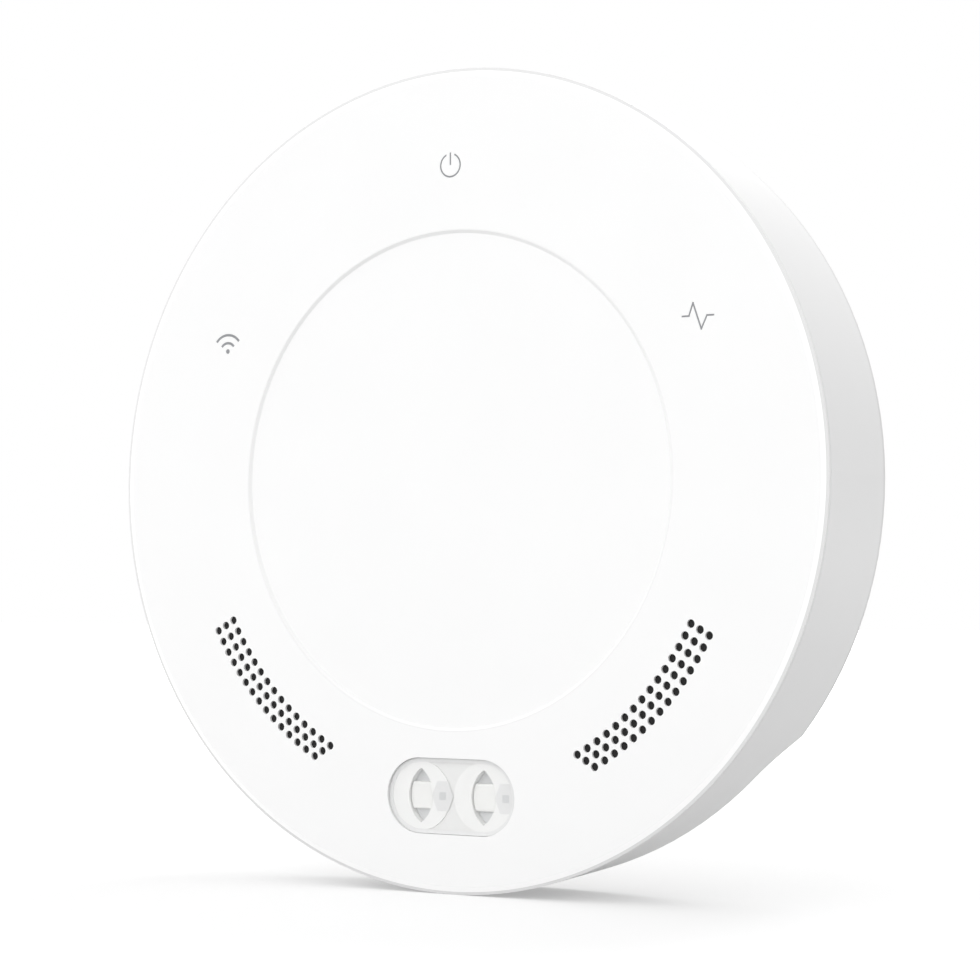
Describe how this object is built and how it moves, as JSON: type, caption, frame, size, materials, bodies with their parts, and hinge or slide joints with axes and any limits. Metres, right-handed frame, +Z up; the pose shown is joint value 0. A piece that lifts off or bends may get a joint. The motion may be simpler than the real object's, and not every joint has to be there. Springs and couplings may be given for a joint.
{
  "type": "garage door controller",
  "caption": "Round white wall hub with an alarm lamp window, lit symbols, speaker grilles and a rear wiring bay, which links a door opener to a home network.",
  "frame": {"origin": "middle of the flat rear face that lies on the wall", "axes": "+Z up the wall, the front faces -Y, +X to the right as seen from the front"},
  "size_m": [0.15, 0.028, 0.15],
  "materials": {
    "white_case": "fine moulded texture",
    "clear_window": "polished clear acrylic",
    "lamp_holder": "milky satin",
    "lamp_emitter": "clear dome",
    "white_board": "white solder mask",
    "circuit_board": "solder mask",
    "connector_nylon": "satin",
    "ribbon_film": "satin film",
    "symbol_grey": "satin",
    "black_mesh": "woven",
    "black_mould": "satin",
    "brass_disc": "satin",
    "zinc_steel": "zinc plated",
    "bright_steel": "bright",
    "relay_blue": "satin",
    "terminal_grey": "satin",
    "button_orange": "satin",
    "reset_grey": "satin",
    "capacitor_can": "satin"
  },
  "bodies": {
    "case": {"front_cover": "white_case", "rear_housing": "white_case", "lens_window": "clear_window", "lamp_cup_left": "lamp_holder", "lamp_cup_right": "lamp_holder", "lamp_spacer": "lamp_holder", "lamp_led_left": "lamp_emitter", "lamp_led_right": "lamp_emitter", "indicator_leds": "lamp_emitter", "lamp_board": "white_board", "main_board": "circuit_board", "radio_board": "circuit_board", "lamp_connector": "connector_nylon", "board_connector": "connector_nylon", "lamp_ribbon": "ribbon_film", "power_symbol": "symbol_grey", "signal_symbol": "symbol_grey", "activity_symbol": "symbol_grey", "vent_mesh_left": "black_mesh", "vent_mesh_right": "black_mesh", "sounder_case": "black_mould", "processor": "black_mould", "memory_chip": "black_mould", "inductor": "black_mould", "regulator": "black_mould", "reset_switch": "black_mould", "power_socket_tongue": "black_mould", "sounder_disc": "brass_disc", "case_screws": "zinc_steel", "board_screws": "zinc_steel", "terminal_contacts": "zinc_steel", "radio_shield": "bright_steel", "power_socket_shell": "bright_steel", "relay_1": "relay_blue", "relay_2": "relay_blue", "relay_3": "relay_blue", "terminal_block_1": "terminal_grey", "terminal_block_2": "terminal_grey", "terminal_block_3": "terminal_grey", "capacitors": "capacitor_can"},
    "button_1": {"terminal_button_1": "button_orange"},
    "button_2": {"terminal_button_2": "button_orange"},
    "button_3": {"terminal_button_3": "button_orange"},
    "button_4": {"terminal_button_4": "button_orange"},
    "button_5": {"terminal_button_5": "button_orange"},
    "button_6": {"terminal_button_6": "button_orange"},
    "reset": {"reset_button": "reset_grey"}
  },
  "joints": [
    {"name": "button_1_press", "type": "slide", "parent": "case", "child": "button_1", "axis": [0, 0, 1], "range_m": [0, 0.0015], "stiffness_N_per_m": 500},
    {"name": "button_2_press", "type": "slide", "parent": "case", "child": "button_2", "axis": [0, 0, 1], "range_m": [0, 0.0015], "stiffness_N_per_m": 500},
    {"name": "button_3_press", "type": "slide", "parent": "case", "child": "button_3", "axis": [0, 0, 1], "range_m": [0, 0.0015], "stiffness_N_per_m": 500},
    {"name": "button_4_press", "type": "slide", "parent": "case", "child": "button_4", "axis": [0, 0, 1], "range_m": [0, 0.0015], "stiffness_N_per_m": 500},
    {"name": "button_5_press", "type": "slide", "parent": "case", "child": "button_5", "axis": [0, 0, 1], "range_m": [0, 0.0015], "stiffness_N_per_m": 500},
    {"name": "button_6_press", "type": "slide", "parent": "case", "child": "button_6", "axis": [0, 0, 1], "range_m": [0, 0.0015], "stiffness_N_per_m": 500},
    {"name": "reset_press", "type": "slide", "parent": "case", "child": "reset", "axis": [0, 0, 1], "range_m": [0, 0.0004], "stiffness_N_per_m": 1000}
  ]
}
